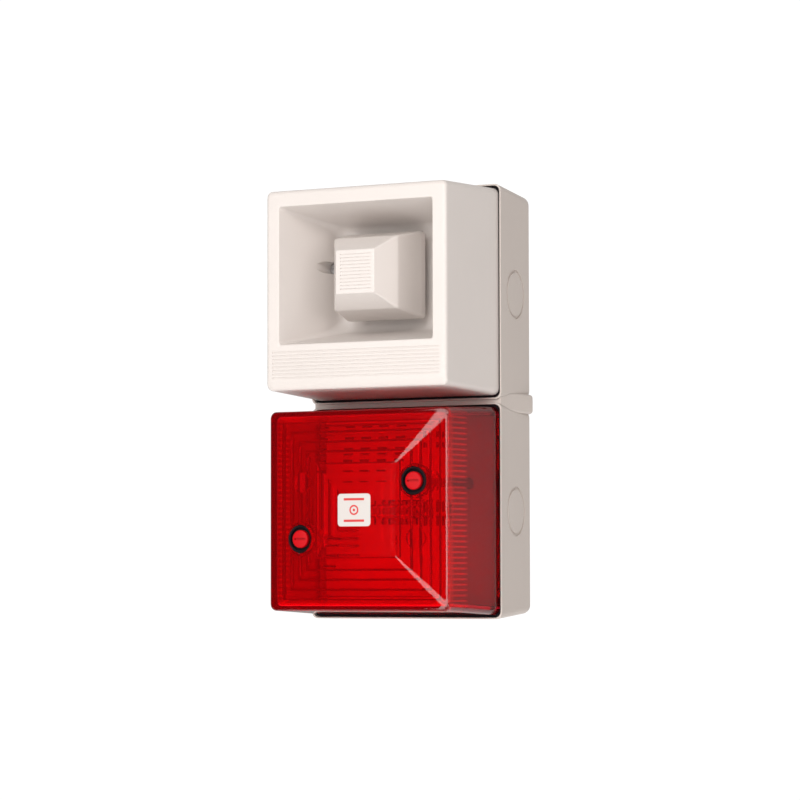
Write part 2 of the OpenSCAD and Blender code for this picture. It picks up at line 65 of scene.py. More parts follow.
BOX = span("upper_back_box")
COLLAR = span("joining_collar")
HOUSING = span("sounder_housing")
BELL = span("horn_bell")
LENS = span("beacon_lens")
LABEL = span("lens_label")
LENS_MID = LABEL["up"]
BOX_MID = -LENS_MID
SOUNDER_SCREWS = [span("sounder_screw_left"), span("sounder_screw_right")]
LENS_SCREWS = [span("lens_screw_upper"), span("lens_screw_lower")]
SEALS = span("lens_screw_seals")
BUSH = span("coupling_bush")

SIDE_LEAN = 3.5                 # how much each box side leans in at the wall
OUTER_END_LEAN = 2.2            # the same at the top end of the upper box
INNER_END_LEAN = 1.75           # and at the end beside the collar
WALL = 2.4                      # wall of a box
LIP = 0.7                       # width of the lip round a rim
LEDGE_OUT = BOX["front"] - 2.4  # ledge behind the lip
ENTRY_R = 10.25                 # cable entries and scored discs
SKIRT = LENS["rear"]            # rear edge of the sounder and of the lens
REAR_UP = 75                    # height of the rear cable entry and of the wall screws
WALL_SCREW_X = 27.5             # wall screws, to each side
SCORE_OUT = 19                  # middle of the scored discs on the sides
BUSH_OUT = BUSH["rear"] + 12    # axis of the bush between the boxes
BUSH_R = 10                     # its hole in each box


def face_point(x, up, out):
    return Vector((x, -out, up)) * MM


# ---------- camera, light and floor ----------

def make_camera():
    camera = bpy.data.objects.new("camera", bpy.data.cameras.new("camera"))
    bpy.context.scene.collection.objects.link(camera)
    pan, tilt, roll = 0.49, 0.046, -0.002
    aim = Matrix.Rotation(pan, 4, "Z") @ Matrix.Rotation(math.pi / 2 + tilt, 4, "X")
    camera.location = (0.634963, -1.22416, -0.076883)
    camera.rotation_euler = (aim @ Matrix.Rotation(roll, 4, "Z")).to_euler()
    camera.data.lens = 137.16
    camera.data.shift_x = -0.0106
    camera.data.shift_y = 0.0467
    camera.data.clip_start = 0.05
    bpy.context.scene.camera = camera


def area_light(name, place, aim, size, power, colour=(1, 1, 1)):
    lamp = bpy.data.objects.new(name, bpy.data.lights.new(name, "AREA"))
    lamp.data.shape = "RECTANGLE"
    lamp.data.size, lamp.data.size_y = size
    lamp.data.energy = power
    lamp.data.color = colour
    lamp.location = place
    lamp.rotation_euler = (Vector(aim) - Vector(place)).to_track_quat("-Z", "Y").to_euler()
    bpy.context.scene.collection.objects.link(lamp)


def math_node(tree, operation, first, second, clamp=False):
    """One operation on two values, each a number or the output of another node."""
    node = tree.nodes.new("ShaderNodeMath")
    node.operation, node.use_clamp = operation, clamp
    for socket, value in zip(node.inputs, (first, second)):
        if isinstance(value, (int, float)):
            socket.default_value = value
        else:
            tree.links.new(value, socket)
    return node.outputs[0]


def map_range(tree, value, from_limits, to_limits):
    """Value moved from one pair of limits to another, and held inside them."""
    node = tree.nodes.new("ShaderNodeMapRange")
    for end, at_from, at_to in zip(("Min", "Max"), from_limits, to_limits):
        node.inputs["From " + end].default_value = at_from
        node.inputs["To " + end].default_value = at_to
    tree.links.new(value, node.inputs["Value"])
    return node.outputs["Result"]


def make_world():
    """White behind the object, and a softer white that lights it, dim where the lens mirrors it."""
    world = bpy.data.worlds.new("studio")
    bpy.context.scene.world = world
    world.use_nodes = True
    tree = world.node_tree
    nodes, links = tree.nodes, tree.links
    nodes.clear()
    place = nodes.new("ShaderNodeTexCoord").outputs["Generated"]
    toward = nodes.new("ShaderNodeVectorMath")
    toward.operation = "DOT_PRODUCT"
    toward.inputs[1].default_value = (-0.46, -0.88, 0.05)
    links.new(place, toward.inputs[0])
    dim = map_range(tree, toward.outputs["Value"], (0.8, 0.9), (1.0, 0.06))
    axes = nodes.new("ShaderNodeSeparateXYZ")
    links.new(place, axes.inputs[0])
    sky = map_range(tree, axes.outputs["Z"], (-0.35, 0.35), (0.16, 0.56))
    fill, seen = nodes.new("ShaderNodeBackground"), nodes.new("ShaderNodeBackground")
    fill.inputs["Color"].default_value = (1.0, 0.98, 0.96, 1)
    links.new(math_node(tree, "MULTIPLY", sky, dim), fill.inputs["Strength"])
    seen.inputs["Color"].default_value = (1, 1, 1, 1)
    seen.inputs["Strength"].default_value = 1.05
    mix = nodes.new("ShaderNodeMixShader")
    links.new(nodes.new("ShaderNodeLightPath").outputs["Is Camera Ray"], mix.inputs[0])
    links.new(fill.outputs[0], mix.inputs[1])
    links.new(seen.outputs[0], mix.inputs[2])
    links.new(mix.outputs[0], nodes.new("ShaderNodeOutputWorld").inputs[0])


def make_lamps():
    area_light("key", (0.3, -1.5, 0.6), (0, -0.04, 0.02), (0.8, 0.7), 11.6, (1, 0.985, 0.97))
    area_light("strip", (-0.5, -1.5, 0.1), (0, -0.05, 0), (0.4, 0.95), 6.6, (1, 0.985, 0.97))
    area_light("low", (0.35, -1.5, -0.42), (0, -0.04, 0), (0.9, 0.25), 3.6, (1, 0.97, 0.95))
    area_light("side", (1.35, -0.95, 0.3), (0, -0.04, 0), (0.8, 1.0), 7, (1, 0.94, 0.92))


def make_floor():
    """Pale floor, far enough below that the lens doesn't mirror it."""
    reach, drop = 2.4, -1.0
    corners = [(x * reach, y * reach, drop) for x, y in ((-1, -1), (1, -1), (1, 1), (-1, 1))]
    mesh = bpy.data.meshes.new("floor")
    mesh.from_pydata(corners, [], [(0, 1, 2, 3)])
    floor = bpy.data.objects.new("floor", mesh)
    bpy.context.scene.collection.objects.link(floor)
    paper, _, shader = base_material("floor_paper")
    shader.inputs["Base Color"].default_value = (0.95, 0.95, 0.95, 1)
    shader.inputs["Roughness"].default_value = 0.9
    shader.inputs["Emission Color"].default_value = (1, 1, 1, 1)
    shader.inputs["Emission Strength"].default_value = 0.45
    mesh.materials.append(paper)


def make_stage():
    bpy.context.scene.view_settings.view_transform = "Standard"
    make_world()
    make_lamps()
    make_floor()


# ---------- materials ----------

def base_material(name):
    material = bpy.data.materials.new(name)
    material.use_nodes = True
    tree = material.node_tree
    return material, tree, tree.nodes["Principled BSDF"]


def noise(tree, scale, detail=3.0, roughness=0.55):
    place = tree.nodes.new("ShaderNodeTexCoord")
    texture = tree.nodes.new("ShaderNodeTexNoise")
    texture.inputs["Scale"].default_value = scale
    texture.inputs["Detail"].default_value = detail
    texture.inputs["Roughness"].default_value = roughness
    tree.links.new(place.outputs["Object"], texture.inputs["Vector"])
    return texture


def vary_colour(tree, shader, colour, spread, scale):
    """Colour that drifts a little over the surface."""
    ramp = tree.nodes.new("ShaderNodeValToRGB")
    ramp.color_ramp.elements[0].position = 0.3
    ramp.color_ramp.elements[1].position = 0.7
    ramp.color_ramp.elements[0].color = (*[c * (1 - spread) for c in colour], 1)
    ramp.color_ramp.elements[1].color = (*[min(1, c * (1 + spread)) for c in colour], 1)
    tree.links.new(noise(tree, scale).outputs["Fac"], ramp.inputs["Fac"])
    tree.links.new(ramp.outputs["Color"], shader.inputs["Base Color"])


def vary_roughness(tree, shader, low, high, scale):
    level = map_range(tree, noise(tree, scale, 4).outputs["Fac"], (0, 1), (low, high))
    tree.links.new(level, shader.inputs["Roughness"])


def grain(tree, shader, scale, strength, depth=0.00004):
    """Fine relief of a moulded or machined skin."""
    bump = tree.nodes.new("ShaderNodeBump")
    bump.inputs["Strength"].default_value = strength
    bump.inputs["Distance"].default_value = depth
    tree.links.new(noise(tree, scale, 5, 0.6).outputs["Fac"], bump.inputs["Height"])
    tree.links.new(bump.outputs["Normal"], shader.inputs["Normal"])


def plastic(name, colour, rough, spread=0.012, bump=0.12, specular=0.5):
    material, tree, shader = base_material(name)
    shader.inputs["Specular IOR Level"].default_value = specular
    vary_colour(tree, shader, colour, spread, 28)
    vary_roughness(tree, shader, rough[0], rough[1], 160)
    grain(tree, shader, 1400, bump)
    return material


def metal(name, colour, rough=(0.22, 0.36), scale=2600):
    material, tree, shader = base_material(name)
    shader.inputs["Metallic"].default_value = 1.0
    vary_colour(tree, shader, colour, 0.05, 90)
    vary_roughness(tree, shader, rough[0], rough[1], 420)
    grain(tree, shader, scale, 0.25, 0.00002)
    return material


def tint_mix(tree, factor, first, second):
    """Mix of two colours; the first may be the output of another node."""
    mix = tree.nodes.new("ShaderNodeMix")
    mix.data_type = "RGBA"
    tree.links.new(factor, mix.inputs["Factor"])
    if isinstance(first, tuple):
        mix.inputs["A"].default_value = first
    else:
        tree.links.new(first, mix.inputs["A"])
    mix.inputs["B"].default_value = second
    return mix.outputs["Result"]


def clear_red():
    """Tinted clear moulding with painted light: painted shade makes it darker on the left and right and by
    the box, and the paler ribs on the left and right are painted highlights.
    """
    material, tree, shader = base_material("lens_red")
    shader.inputs["Transmission Weight"].default_value = 0.88
    shader.inputs["IOR"].default_value = 1.46
    vary_roughness(tree, shader, 0.03, 0.06, 240)

    def calc(*terms):
        return math_node(tree, *terms)

    side_half, rib_pitch = 41.0, 0.0023
    front_out, ribs_out, edge_out = 75.2, 63.6, BOX["front"] + 1.8
    axes = tree.nodes.new("ShaderNodeSeparateXYZ")
    tree.links.new(tree.nodes.new("ShaderNodeTexCoord").outputs["Object"], axes.inputs[0])
    out = calc("MULTIPLY", axes.outputs["Y"], -1000)
    across = calc("ABSOLUTE", calc("MULTIPLY", axes.outputs["X"], 1000), 0)
    wave = calc("SINE", calc("MULTIPLY", axes.outputs["Z"], 2 * math.pi / rib_pitch), 0)
    # painted light: the front and the middle get the lighter red, the left and right the darker red as
    # painted shade
    front = calc("MULTIPLY", calc("SUBTRACT", out, front_out), 0.5, True)
    middle = calc("MULTIPLY", calc("SUBTRACT", side_half, across), 0.5, True)
    ribbed = calc("MULTIPLY", calc("SUBTRACT", out, ribs_out), 1.5, True)
    # painted highlight: paler ribs across the left and right
    rib_highlight = calc("MULTIPLY", calc("MULTIPLY", calc("SUBTRACT", wave, 0.3), 3, True), ribbed)
    light = calc("MAXIMUM", calc("MAXIMUM", front, middle), rib_highlight)
    shaded_tint = tint_mix(tree, light, (0.5, 0.002, 0.012, 1), (1.0, 0.003, 0.01, 1))
    # painted shade: the red darkens towards the box
    shade_by_box = calc("SUBTRACT", edge_out, out, True)
    tree.links.new(tint_mix(tree, shade_by_box, shaded_tint, (0.15, 0.001, 0.006, 1)), shader.inputs["Base Color"])
    return material


def glass(name):
    material, tree, shader = base_material(name)
    shader.inputs["Transmission Weight"].default_value = 1.0
    shader.inputs["IOR"].default_value = 1.47
    vary_colour(tree, shader, (0.95, 0.98, 1.0), 0.01, 60)
    vary_roughness(tree, shader, 0.0, 0.03, 200)
    return material


def board_material():
    """Solder mask with a faint paler grid, a rough stand-in for copper runs."""
    material, tree, shader = base_material("circuit_board")
    place = tree.nodes.new("ShaderNodeTexCoord")
    bricks = tree.nodes.new("ShaderNodeTexBrick")
    bricks.inputs["Scale"].default_value = 160
    bricks.inputs["Color1"].default_value = (0.012, 0.12, 0.045, 1)
    bricks.inputs["Color2"].default_value = (0.016, 0.14, 0.055, 1)
    bricks.inputs["Mortar"].default_value = (0.03, 0.2, 0.08, 1)
    bricks.inputs["Mortar Size"].default_value = 0.03
    turn = tree.nodes.new("ShaderNodeMapping")
    turn.inputs["Rotation"].default_value = (math.pi / 2, 0, 0)
    tree.links.new(place.outputs["Object"], turn.inputs["Vector"])
    tree.links.new(turn.outputs["Vector"], bricks.inputs["Vector"])
    tree.links.new(bricks.outputs["Color"], shader.inputs["Base Color"])
    vary_roughness(tree, shader, 0.22, 0.34, 300)
    return material


BOX_WHITE = (0.575, 0.515, 0.475)
HEAD_WHITE = (0.65, 0.602, 0.572)


# colour, limits of roughness, spread of the colour, strength of the grain, specular level
PLASTICS = {
    "box_plastic": (BOX_WHITE, (0.42, 0.52)),
    "sounder_plastic": (HEAD_WHITE, (0.34, 0.42)),
    "black_plastic": ((0.018, 0.018, 0.02), (0.35, 0.5), 0.15),
    "terminal_green": ((0.02, 0.19, 0.07), (0.35, 0.45), 0.05),
    "wire_red": ((0.42, 0.012, 0.012), (0.3, 0.4), 0.05),
    "white_plastic": ((0.91, 0.91, 0.89), (0.3, 0.4)),
    "capacitor_sleeve": ((0.015, 0.025, 0.13), (0.15, 0.25), 0.08),
    "transformer_yellow": ((0.6, 0.36, 0.03), (0.3, 0.45), 0.06),
    "seal_rubber": ((0.008, 0.005, 0.007), (0.6, 0.8), 0.2, 0.3, 0.12),
    "diaphragm_film": ((0.5, 0.4, 0.24), (0.2, 0.3), 0.04),
    "ferrite": ((0.03, 0.03, 0.033), (0.5, 0.7), 0.15, 0.5, 0.4),
    "switch_red": ((0.42, 0.015, 0.015), (0.3, 0.42), 0.05),
    "trimmer_blue": ((0.015, 0.06, 0.3), (0.3, 0.42), 0.05),
    "screw_red": ((0.5, 0.002, 0.006), (0.3, 0.4), 0.03, 0.04, 0.12),
    # painted shade: dark reds of the bars behind the lens, which stand for the dark lines that the lens shows
    "ridge_shade_red": ((0.11, 0.001, 0.01), (0.3, 0.4), 0.05, 0.04, 0.25),
    "dash_shade_red": ((0.06, 0.001, 0.006), (0.3, 0.4), 0.05, 0.04, 0.25),
    "label_white": ((0.57, 0.53, 0.505), (0.25, 0.34), 0.01, 0.05),
    "label_mark": ((0.55, 0.02, 0.02), (0.3, 0.4), 0.02, 0.05),
}
# colour, limits of roughness, scale of the grain
METALS = {
    "zinc_steel": ((0.62, 0.63, 0.65),),
    "stainless_steel": ((0.56, 0.56, 0.57), (0.28, 0.4)),
    "driver_steel": ((0.5, 0.51, 0.54), (0.3, 0.45)),
    "brass_insert": ((0.72, 0.5, 0.2), (0.25, 0.4)),
    "coil_copper": ((0.75, 0.33, 0.16), (0.2, 0.35), 5200),
}


def make_materials():
    made = {name: plastic(name, *look) for name, look in PLASTICS.items()}
    made |= {name: metal(name, *look) for name, look in METALS.items()}
    return made | {"circuit_board": board_material(), "tube_glass": glass("tube_glass"),
                   "lens_red": clear_red()}


# ---------- mesh helpers ----------

CORNER_STEPS = 8


def outline(section, steps):
    """Points round a rounded rectangle (out, half width, low, high, corner radius)."""
    out, half, low, high, radius = section
    points = []
    for sign, end, quarter in ((1, high, 0), (-1, high, 1), (-1, low, 2), (1, low, 3)):
        centre_up = end - radius if quarter < 2 else end + radius
        for i in range(steps + 1):
            angle = math.pi / 2 * (quarter + i / steps)
            points.append((sign * (half - radius) + radius * math.cos(angle),
                           centre_up + radius * math.sin(angle), out))
    return points


def soften(keys, steps=4):
    """Rounds a path of sections: each key is (section, length of the rounding at it)."""
    path = []
    for i, (here, length) in enumerate(keys):
        if not length or i in (0, len(keys) - 1):
            path.append(here)
            continue
        ends = []
        for other in (keys[i - 1][0], keys[i + 1][0]):
            gap = math.dist(here[:2], other[:2])
            share = min(0.49, length / gap)
            ends.append([h + (o - h) * share for h, o in zip(here, other)])
        for k in range(steps + 1):
            t = k / steps
            path.append([a * (1 - t) ** 2 + 2 * h * t * (1 - t) + b * t ** 2
                         for a, h, b in zip(ends[0], here, ends[1])])
    return path


def object_from(name, build):
    """Turns a finished bmesh into an object."""
    mesh = bpy.data.meshes.new(name)
    build.to_mesh(mesh)
    build.free()
    piece = bpy.data.objects.new(name, mesh)
    bpy.context.scene.collection.objects.link(piece)
    return piece


def loft(name, sections, steps=CORNER_STEPS):
    """Closed shell through a path of rounded rectangles, capped at both ends."""
    build = bmesh.new()
    rings = [[build.verts.new(face_point(*p)) for p in outline(s, steps)] for s in sections]
    count = len(rings[0])
    for a, b in zip(rings, rings[1:]):
        for i in range(count):
            j = (i + 1) % count
            build.faces.new((a[i], a[j], b[j], b[i]))
    build.faces.new(rings[0])
    build.faces.new(rings[-1])
    bmesh.ops.recalc_face_normals(build, faces=build.faces)
    return object_from(name, build)


def turned(name, profile, x, up, turns=64):
    """Solid of revolution about an axis that comes out of the wall: (radius, out) pairs."""
    build = bmesh.new()
    rings = []
    for radius, out in profile:
        if radius == 0:
            rings.append([build.verts.new(face_point(x, up, out))])
            continue
        rings.append([build.verts.new(face_point(x + radius * math.cos(2 * math.pi * i / turns),
                                                 up + radius * math.sin(2 * math.pi * i / turns), out))
                      for i in range(turns)])
    for a, b in zip(rings, rings[1:]):
        for i in range(turns):
            j = (i + 1) % turns
            corners = [a[i % len(a)], a[j % len(a)], b[j % len(b)], b[i % len(b)]]
            build.faces.new(list(dict.fromkeys(corners)))
    if len(rings[0]) > 1 and profile[0] == profile[-1]:
        bmesh.ops.remove_doubles(build, verts=build.verts, dist=1e-7)
    bmesh.ops.recalc_face_normals(build, faces=build.faces)
    return object_from(name, build)


def rod(x, up, radius, low, high, turns=48):
    return turned("tool", [(0, low), (radius, low), (radius, high), (0, high)], x, up, turns)


def up_rod(x, out, radius, low, high):
    """Rod that runs along the height."""
    tool = rod(0, 0, radius, low, high)
    tool.data.transform(Matrix.Translation(face_point(x, 0, out)) @ Matrix.Rotation(-math.pi / 2, 4, "X"))
    return tool


def mirror_down(piece):
    """Mirrors a piece of the upper box into the lower one."""
    piece.data.transform(Matrix.Scale(-1, 4, (0, 0, 1)))
    piece.data.flip_normals()


def block(x0, x1, up0, up1, out0, out1, edge=0.0):
    build = bmesh.new()
    bmesh.ops.create_cube(build, size=1)
    size = Vector((abs(x1 - x0), abs(out1 - out0), abs(up1 - up0))) * MM
    bmesh.ops.scale(build, vec=size, verts=build.verts)
    bmesh.ops.translate(build, vec=face_point((x0 + x1) / 2, (up0 + up1) / 2, (out0 + out1) / 2),
                        verts=build.verts)
    if edge:
        bmesh.ops.bevel(build, geom=build.edges, offset=edge * MM, segments=2, affect="EDGES")
    return object_from("tool", build)


def join(pieces):
    """One object from several, kept as separate shells."""
    build = bmesh.new()
    for piece in pieces:
        build.from_mesh(piece.data)
    for piece in pieces:
        bpy.data.objects.remove(piece)
    return object_from("joined", build)


def carve(piece, tools, operation="DIFFERENCE"):
    """Cuts all the tools out of the piece, or joins them on; they may overlap each other."""
    tool = join(tools)
    change = piece.modifiers.new("cut", "BOOLEAN")
    change.operation = operation
    change.solver = "EXACT"
    change.use_self = True
    change.object = tool
    apply_modifiers(piece)
    bpy.data.objects.remove(tool)


def apply_modifiers(piece):
    graph = bpy.context.evaluated_depsgraph_get()
    piece.data = bpy.data.meshes.new_from_object(piece.evaluated_get(graph))
    piece.modifiers.clear()


def finish_mesh(piece, material, sharp_deg=32):
    """Smooth shading with crisp creases, and the piece's material."""
    build = bmesh.new()
    build.from_mesh(piece.data)
    bmesh.ops.remove_doubles(build, verts=build.verts, dist=2e-7)
    bmesh.ops.dissolve_degenerate(build, edges=build.edges, dist=2e-7)
    limit = math.radians(sharp_deg)
    for polygon in build.faces:
        polygon.smooth = True
    for edge in build.edges:
        edge.smooth = len(edge.link_faces) == 2 and edge.calc_face_angle(0) < limit
    build.to_mesh(piece.data)
    build.free()
    piece.data.materials.clear()
    piece.data.materials.append(material)
    weigh = piece.modifiers.new("even_normals", "WEIGHTED_NORMAL")
    weigh.keep_sharp = True
    return piece


def place(piece, name, body, slot, *nodes):
    piece.name = name
    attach(piece, body)
    if nodes:
        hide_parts(*nodes)


# ---------- back boxes and collar ----------

def box_section(out, inset, radius):
    lean = 1 - out / BOX["front"]
    return [out, BOX["half"] - SIDE_LEAN * lean - inset, BOX["low"] + INNER_END_LEAN * lean + inset,
            BOX["high"] - OUTER_END_LEAN * lean - inset, radius]


def box_shell():
    """Outer skin, lip, ledge and inside of the upper box, as one closed shell."""
    front = BOX["front"]
    cavity_inset = WALL + 0.8
    return soften([
        (box_section(0, 5, 3), 0), (box_section(0, 0, 3.6), 3),
        (box_section(front, 0, 3), 0.22), (box_section(front, LIP, 2.7), 0.22),
        (box_section(LEDGE_OUT, LIP, 2.6), 0.15), (box_section(LEDGE_OUT, cavity_inset, 3), 0.3),
        (box_section(WALL, WALL, 3), 1.2), (box_section(WALL, WALL + 6, 2.5), 0)])


def ring_groove(tilt, centre):
    """Tool for a scored ring: a shallow tube laid in a surface."""
    half, depth = 0.8, 0.75
    inner, outer = ENTRY_R - half, ENTRY_R + half
    tool = turned("tool", [(inner + 0.2, -depth), (outer - 0.2, -depth), (outer, 1), (inner, 1),
                           (inner + 0.2, -depth)], 0, 0, 96)
    tool.data.transform(Matrix.Translation(centre) @ tilt)
    return tool


def box_tools(open_entry):
    """Holes and scored rings of the upper box; one box has an open rear entry."""
    lean_x = math.atan(SIDE_LEAN / BOX["front"])
    lean_up = math.atan(OUTER_END_LEAN / BOX["front"])
    _, half, _, high, _ = box_section(SCORE_OUT, 0, 3)
    cuts = [ring_groove(Matrix.Rotation(side * (math.pi / 2 + lean_x), 4, "Z"),
                        face_point(side * half, BOX_MID, SCORE_OUT)) for side in (-1, 1)]
    cuts.append(ring_groove(Matrix.Rotation(-math.pi / 2 - lean_up, 4, "X"), face_point(0, high, SCORE_OUT)))
    cuts += [rod(x, REAR_UP, 2.4, -1, WALL + 3) for x in (-WALL_SCREW_X, WALL_SCREW_X)]
    cuts += [rod(s["x"], s["up"], 2.7, 4, 14) for s in SOUNDER_SCREWS]
    cuts.append(up_rod(0, BUSH_OUT, BUSH_R, -1, 8))
    cuts += [up_rod(x, BUSH_OUT, 2.15, -1, 8) for x in (-32, 32)]
    if open_entry:
        cuts.append(rod(0, REAR_UP, ENTRY_R, -1, WALL + 2))
    else:
        cuts.append(ring_groove(Matrix.Rotation(math.pi, 4, "Z"), face_point(0, REAR_UP, 0)))
    return cuts


def box_posts():
    """Posts on the inner face of the rear wall: (radius, out) pairs from a root inside the wall."""
    root = 1.2
    captive = [(0, root), (4.7, root), (4.4, 11.6), (4.0, 12), (0, 12)]
    board = [(0, root), (3.3, root), (3.1, 7.9), (0, 7.9)]
    wall_screw = [(0, root), (5.4, root), (5.2, 4.4), (0, 4.4)]
    spots = [(captive, -s["x"], s["up"]) for s in SOUNDER_SCREWS]
    spots += [(board, -x, up) for x, up in ((30.5, 10.5), (30.5, 26.5), (35.5, 66))]
    spots.append((wall_screw, -WALL_SCREW_X, REAR_UP))
    return [turned("post", profile, side * x, up) for profile, x, up in spots for side in (1, -1)]


def make_back_box(name, flip, material):
    """Upper box, or its mirror image below with an open rear entry."""
    piece = loft(name + "_visual", box_shell())
    carve(piece, box_posts(), "UNION")
    carve(piece, box_tools(flip))
    if flip:
        mirror_down(piece)
    finish_mesh(piece, material)
    place(piece, name + "_visual", "base", "box_plastic", name)


def make_collar(material):
    """Band that clips the two boxes together: a block with the boxes taken out of it."""
    half, front, high = COLLAR["half"], COLLAR["front"], COLLAR["high"]
    corner, edge = 4.5, 1.5
    build = bmesh.new()
    left = [(-half + corner * (1 - math.sin(a)), corner * (1 - math.cos(a)))
            for a in [k * math.pi / 16 for k in range(8, -1, -1)]]
    points = left + [(-x, out) for x, out in left[::-1]] + [(half, front), (-half, front)]
    base = build.faces.new([build.verts.new(face_point(x, -high, out)) for x, out in points])
    lifted = bmesh.ops.extrude_face_region(build, geom=[base])["geom"]
    top = [v for v in lifted if isinstance(v, bmesh.types.BMVert)]
    bmesh.ops.translate(build, vec=(0, 0, 2 * high * MM), verts=top)
    bmesh.ops.recalc_face_normals(build, faces=build.faces)
    rims = [e for e in build.edges if abs(e.verts[0].co.z - e.verts[1].co.z) < 1e-9]
    bmesh.ops.bevel(build, geom=rims, offset=edge * MM, segments=5, affect="EDGES", profile=0.5)
    piece = object_from("collar", build)
    play = 0.1
    tools = [loft("tool", soften([(box_section(0, 5 - play, 3), 0), (box_section(0, -play, 3.6), 3),
                                  (box_section(BOX["front"], -play, 3.1), 0)])) for _ in range(2)]
    mirror_down(tools[1])
    carve(piece, tools + [up_rod(0, BUSH_OUT, BUSH_R, -6, 6)])
    finish_mesh(piece, material)
    place(piece, "joining_collar_visual", "base", "box_plastic", "joining_collar")


# ---------- sounder ----------

HEAD_MID = BOX_MID + 0.3
MOUTH = {"half": 37.8, "low": 24.4, "high": 84.8}
THROAT_R = 6.5
HORN_BEND = 57                  # where the steep sides of the horn turn to its floor
HORN_BACK = 47.0                # front of the horn's floor
HORN_SEAT = 44.5                # rear of the horn's floor, where the driver sits


def head_section(out, half, half_up, mid, radius):
    return [out, half, mid - half_up, mid + half_up, radius]


def mouth_section(out, inset_x, inset_up, radius, grow=0.0):
    return [out, MOUTH["half"] - inset_x + grow, MOUTH["low"] + inset_up - grow,
            MOUTH["high"] - inset_up + grow, radius + grow]


def horn_bend(grow=0.0):
    return mouth_section(HORN_BEND, 9.8, 5.2, 2.6, grow), 3


def horn_floor(out, grow=0.0):
    return [(mouth_section(out, 12.2, 7.6, 7, grow), 6.5), (mouth_section(out, 24, 19, 3, grow), 0)]


def housing_path():
    """Path from the rear of the horn's floor, inside the walls, round the skirt and into the horn."""
    half, half_up = HOUSING["half"], (HOUSING["high"] - HOUSING["low"]) / 2
    front, skin, draft = HOUSING["front"], 2.2, 1.75
    inside = front - 2.4
    return soften([
        (mouth_section(HORN_SEAT, 18, 14, 1, skin), 0),
        (mouth_section(HORN_SEAT, 14.6, 10.0, 4, skin), 3),
        horn_bend(skin),
        (mouth_section(inside, 0.9, 0.5, 1.2, skin), 0.3),
        (head_section(inside, half - draft - skin, half_up - draft - skin, HEAD_MID, 2), 0.6),
        (head_section(SKIRT, half - skin, half_up - skin, BOX_MID, 2), 0.2),
        (head_section(SKIRT, half, half_up, BOX_MID, 3), 0.3),
        (head_section(front, half - draft, half_up - draft, HEAD_MID, 2.6), 1.9),
        (mouth_section(front, 0, 0, 1.2), 0.35),
        horn_bend(), *horn_floor(HORN_BACK)], 8)


def behind_horn(boss):
    """Takes the inside of the horn out of a boss."""
    grow = 1
    inside = loft("tool", soften([(mouth_section(HOUSING["front"], -0.3, -0.3, 1.2, grow), 0),
                                  horn_bend(grow), *horn_floor(HORN_BACK - grow, grow)], 8))
    carve(boss, [inside])
    return boss


def make_housing(material):
    piece = loft("sounder_housing_visual", housing_path())
    up, tube_r = BELL["up"], THROAT_R + 2
    tube = [(0, 46), (tube_r, 46), (tube_r, 65.6), (tube_r - 0.4, 66), (0, 66)]
    sleeve = [(0, 44.6), (4.8, 44.6), (4.8, 60.1), (4.4, 60.5), (0, 60.5)]
    post = [(0, 18.7), (3, 18.7), (3, 54), (2.4, 54.6), (0, 54.6)]
    adds = [turned("tool", tube, 0, up)]
    adds += [behind_horn(turned("tool", sleeve, s["x"], s["up"])) for s in SOUNDER_SCREWS]
    adds += [behind_horn(turned("tool", post, x, post_up)) for x in (-28.5, 28.5) for post_up in (26.5, 79.5)]
    carve(piece, adds, "UNION")
    cuts = [rod(0, up, THROAT_R, HORN_SEAT - 1, 67)]
    cuts += [rod(s["x"], s["up"], 2.72, 46.5, 72) for s in SOUNDER_SCREWS]
    cuts += [rod(s["x"], s["up"], 1.98, HORN_SEAT - 1, 47) for s in SOUNDER_SCREWS]
    groove_half, groove_depth, groove_pitch = 0.4, 0.3, 1.6
    for i in range(8):
        line = MOUTH["low"] - 3.3 - groove_pitch * i
        cuts.append(block(-41, 41, line - groove_half, line + groove_half,
                          HOUSING["front"] - groove_depth, HOUSING["front"] + 1, 0.1))
    carve(piece, cuts)
    finish_mesh(piece, material)
    place(piece, "sounder_housing_visual", "sounder_head", "sounder_plastic", "sounder_housing")


def make_bell(material):
    """Square bell in the mouth: ribbed face, two slopes each side, open behind."""
    front, rear, up = BELL["front"], BELL["rear"] + 6.3, BELL["up"]
    face_half = 9.4

    def bell(out, half, radius):
        return head_section(out, half, half, up, radius)

    piece = loft("horn_bell_visual", soften([
        (bell(front - 2, 4, 0.4), 0), (bell(front - 2, face_half - 1.5, 0.5), 0.3),
        (bell(72, face_half + 4.8, 0.8), 1), (bell(rear + 3.2, face_half + 8, 1.2), 0.4),
        (bell(rear, face_half + 8, 1.2), 0.2), (bell(rear, face_half + 9.6, 1.6), 0.25),
        (bell(rear + 3.2, face_half + 9.6, 1.6), 0.4), (bell(72.5, face_half + 6.4, 1.1), 0.8),
        (bell(front, face_half, 0.5), 0.35), (bell(front, 4, 0.4), 0)]))
    foot = face_half + 5
    carve(piece, [rod(sx * foot, up + su * foot, 1.4, HORN_BACK, 68.6, 24)
                  for sx in (-1, 1) for su in (-1, 1)], "UNION")
    groove_half, groove_depth, groove_pitch = 0.22, 0.26, 1.5
    cuts = []
    for i in range(-5, 6):
        line = up + groove_pitch * i
        cuts.append(block(-face_half + 2.2, face_half - 1.6, line - groove_half, line + groove_half,
                          front - groove_depth, front + 1, 0.07))
    carve(piece, cuts)
    finish_mesh(piece, material, 20)
    place(piece, "horn_bell_visual", "sounder_head", "sounder_plastic", "horn_bell")


# ---------- lens ----------

